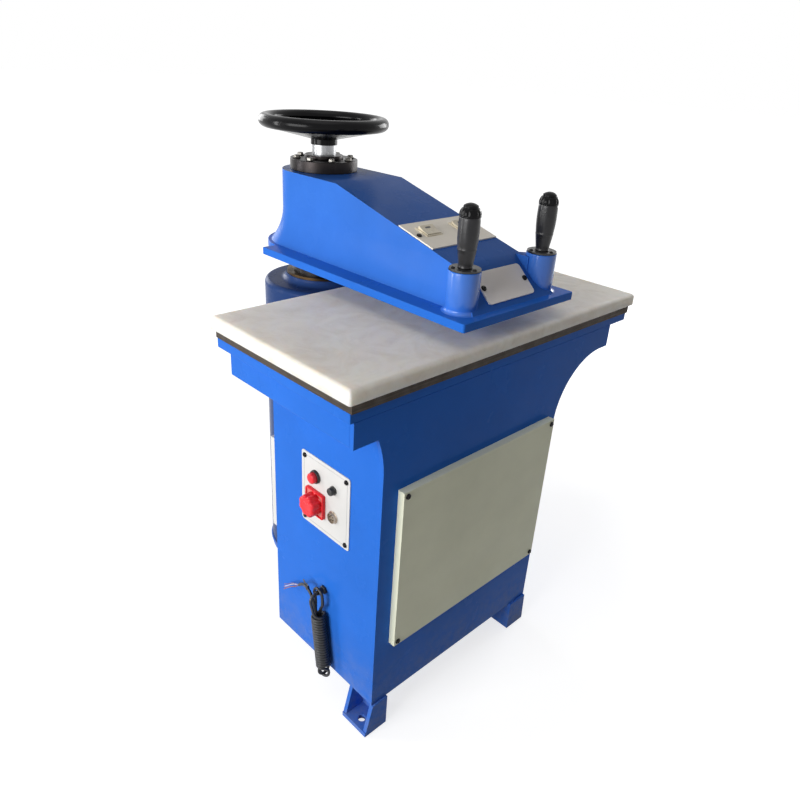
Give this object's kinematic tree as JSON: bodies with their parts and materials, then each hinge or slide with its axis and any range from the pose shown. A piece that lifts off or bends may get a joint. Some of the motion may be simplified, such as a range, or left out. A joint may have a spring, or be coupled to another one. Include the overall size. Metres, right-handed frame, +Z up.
{
  "type": "swing arm clicker press",
  "caption": "Swing arm cutting press: a hydraulic swing arm on a column over a cutting board on a steel cabinet, with two grips and a height handwheel.",
  "frame": {"origin": "on the floor, on the axis of the column that the arm swings about", "axes": "+X to the right of an operator who stands at the front, +Y to the rear, +Z up"},
  "size_m": [0.9, 0.8114, 1.235],
  "materials": {
    "blue_paint": "gloss",
    "cover_paint": "satin",
    "white_paint": "satin",
    "board_plastic": "matt, lightly scuffed",
    "underlay_sheet": "matt",
    "black_screws": "blacked",
    "blacked_steel": "blacked, lightly oiled",
    "bright_steel": "turned bright",
    "ground_steel": "ground and oiled",
    "spring_steel": "plain",
    "bronze": "turned",
    "cast_iron": "as cast",
    "aluminium": "as cast",
    "tank_paint": "satin",
    "black_plastic": "satin",
    "gloss_black": "gloss",
    "grip_rubber": "satin",
    "red_plastic": "gloss",
    "cream_plastic": "gloss",
    "cord_rubber": "satin",
    "grey_plastic": "matt"
  },
  "bodies": {
    "frame": {"front_plate": "blue_paint", "cabinet_shell": "blue_paint", "head_box": "blue_paint", "table_plate": "blue_paint", "board_underlay": "underlay_sheet", "cutting_board": "board_plastic", "front_cover": "cover_paint", "rear_cover": "white_paint", "panel_screws": "black_screws", "front_feet": "blue_paint", "rear_base": "blue_paint", "neck_box": "blue_paint", "column_tower": "blue_paint", "wiper_ring": "bronze", "column_bushes": "bronze", "hydraulic_cylinder": "tank_paint", "return_spring": "spring_steel", "oil_tank": "tank_paint", "bell_housing": "aluminium", "motor": "aluminium", "pump": "cast_iron", "valve_block": "bright_steel", "pressure_pipe": "bright_steel", "control_gear": "grey_plastic", "control_plate": "white_paint", "panel_fittings": "black_plastic", "switch_base": "red_plastic", "cord_gland": "black_plastic", "mains_cord": "cord_rubber", "cord_hank": "cord_rubber", "cord_tail": "cord_rubber"},
    "ram": {"column": "ground_steel", "piston_rod": "ground_steel", "lift_nut": "bronze"},
    "lift": {"guide_sleeve": "bronze"},
    "wheel": {"adjusting_screw": "ground_steel", "bright_collar": "bright_steel", "handwheel": "gloss_black", "wheel_nut": "blacked_steel"},
    "arm": {"arm_plate": "blue_paint", "arm_body": "blue_paint", "handle_discs": "black_plastic", "grips": "grip_rubber", "grip_caps": "gloss_black", "thumb_switches": "grey_plastic", "switch_plate": "white_paint", "rocker_frames": "cream_plastic", "blank_plate": "white_paint", "arm_screws": "black_screws", "column_flange": "blacked_steel", "flange_bolts": "blacked_steel", "bearing_cap": "blacked_steel", "thrust_bearings": "bright_steel"},
    "left_thumb": {"thumb_button_left": "gloss_black"},
    "right_thumb": {"thumb_button_right": "gloss_black"},
    "left_rocker": {"rocker_left": "cream_plastic"},
    "right_rocker": {"rocker_right": "cream_plastic"},
    "push_button": {"red_button": "red_plastic"},
    "switch_knob": {"main_knob": "red_plastic"},
    "rotor": {"motor_shaft": "bright_steel"}
  },
  "joints": [
    {"name": "ram_stroke", "type": "slide", "parent": "frame", "child": "ram", "axis": [0, 0, 1], "range_m": [-0.033, 0], "stiffness_N_per_m": 40000, "springref_m": 0.06, "deforming": ["return_spring"]},
    {"name": "height_adjust", "type": "slide", "parent": "ram", "child": "lift", "axis": [0, 0, 1], "range_m": [0, 0.06]},
    {"name": "handwheel_turn", "type": "hinge", "parent": "lift", "child": "wheel", "pos_m": [0, 0, 1.22], "axis": [0, 0, 1], "range_deg": [0, 4320]},
    {"name": "arm_swing", "type": "hinge", "parent": "lift", "child": "arm", "pos_m": [0, 0, 0.93], "axis": [0, 0, 1], "range_deg": [-90, 90]},
    {"name": "thumb_button_left_press", "type": "slide", "parent": "arm", "child": "left_thumb", "axis": [0, 0, -1], "range_m": [0, 0.004], "stiffness_N_per_m": 600, "springref_m": -0.003},
    {"name": "thumb_button_right_press", "type": "slide", "parent": "arm", "child": "right_thumb", "axis": [0, 0, -1], "range_m": [0, 0.004], "stiffness_N_per_m": 600, "springref_m": -0.003},
    {"name": "rocker_left_tilt", "type": "hinge", "parent": "arm", "child": "left_rocker", "pos_m": [-0.05, -0.41577, 1.04928], "axis": [1, 0, 0], "range_deg": [-20, 0]},
    {"name": "rocker_right_tilt", "type": "hinge", "parent": "arm", "child": "right_rocker", "pos_m": [0.05, -0.41577, 1.04928], "axis": [1, 0, 0], "range_deg": [-20, 0]},
    {"name": "red_button_press", "type": "slide", "parent": "frame", "child": "push_button", "axis": [1, 0, 0], "range_m": [0, 0.004], "stiffness_N_per_m": 600, "springref_m": -0.003},
    {"name": "main_switch_turn", "type": "hinge", "parent": "frame", "child": "switch_knob", "pos_m": [-0.358, -0.4395, 0.522], "axis": [-1, 0, 0], "range_deg": [0, 90]},
    {"name": "motor_spin", "type": "hinge", "parent": "frame", "child": "rotor", "pos_m": [0.102, -0.4605, 0.4], "axis": [0, 0, 1], "continuous": true}
  ],
  "couplings": [
    {"joint": "height_adjust", "follows": "handwheel_turn", "m_per_rad": 0.00079577}
  ]
}
